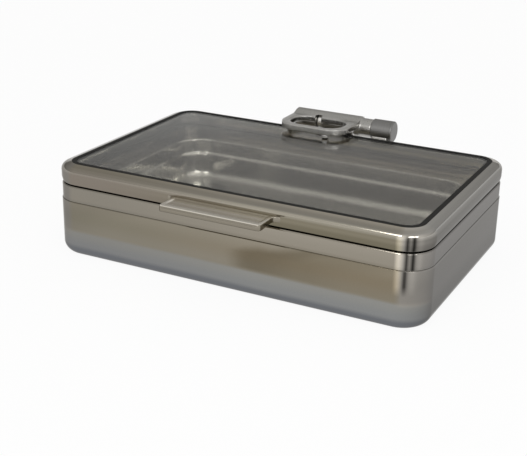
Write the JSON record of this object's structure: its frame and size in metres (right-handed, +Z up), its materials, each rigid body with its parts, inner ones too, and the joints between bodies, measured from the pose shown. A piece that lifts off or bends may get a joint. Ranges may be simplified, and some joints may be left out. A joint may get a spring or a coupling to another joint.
{
  "type": "chafing dish",
  "caption": "Rectangular countertop chafing dish: polished steel water pan with a lift-out food pan and a flat glass lid in a steel frame, opened by a front tab on a damped rear hinge.",
  "frame": {"origin": "middle of the flat face that rests on the table", "axes": "+X to the right seen from the front, +Y to the back where the hinge is, +Z up"},
  "size_m": [0.5808, 0.4657, 0.1609],
  "materials": {
    "polished_steel": "mirror polished stainless steel",
    "pan_steel": "drawn stainless steel, satin",
    "cast_steel": "cast stainless steel, fine satin",
    "glass": "clear tempered glass",
    "black_rubber": "black silicone",
    "screw_steel": "plain steel",
    "bronze": "sintered bronze",
    "black_plastic": "black moulded plastic"
  },
  "bodies": {
    "dish": {"water_pan": "polished_steel", "body_collar": "polished_steel", "pan_ledge": "pan_steel", "rim_seal": "black_rubber", "hinge_bracket": "cast_steel", "backing_plate": "screw_steel", "bracket_screws": "screw_steel", "barrel_housing": "cast_steel", "barrel_cap": "cast_steel", "damper_body": "black_plastic", "barrel_bush": "bronze", "lug_bush": "bronze"},
    "insert_pan": {"food_pan": "pan_steel"},
    "lid": {"lid_frame": "polished_steel", "lid_glass": "glass", "glass_gasket": "black_rubber", "glass_retainer": "pan_steel", "lid_handle": "polished_steel", "handle_screws": "screw_steel", "hinge_leaf": "cast_steel", "leaf_post": "polished_steel", "leaf_pad": "black_rubber", "leaf_screws": "screw_steel", "hinge_shaft": "screw_steel", "shaft_set_screw": "screw_steel", "damper_rotor": "black_plastic"}
  },
  "joints": [
    {"name": "lid_hinge", "type": "hinge", "parent": "dish", "child": "lid", "pos_m": [0, 0.216, 0.143], "axis": [-1, 0, 0], "range_deg": [0, 95]},
    {"name": "pan_lift", "type": "slide", "parent": "dish", "child": "insert_pan", "axis": [0, 0, 1], "range_m": [0, 0.03]}
  ]
}
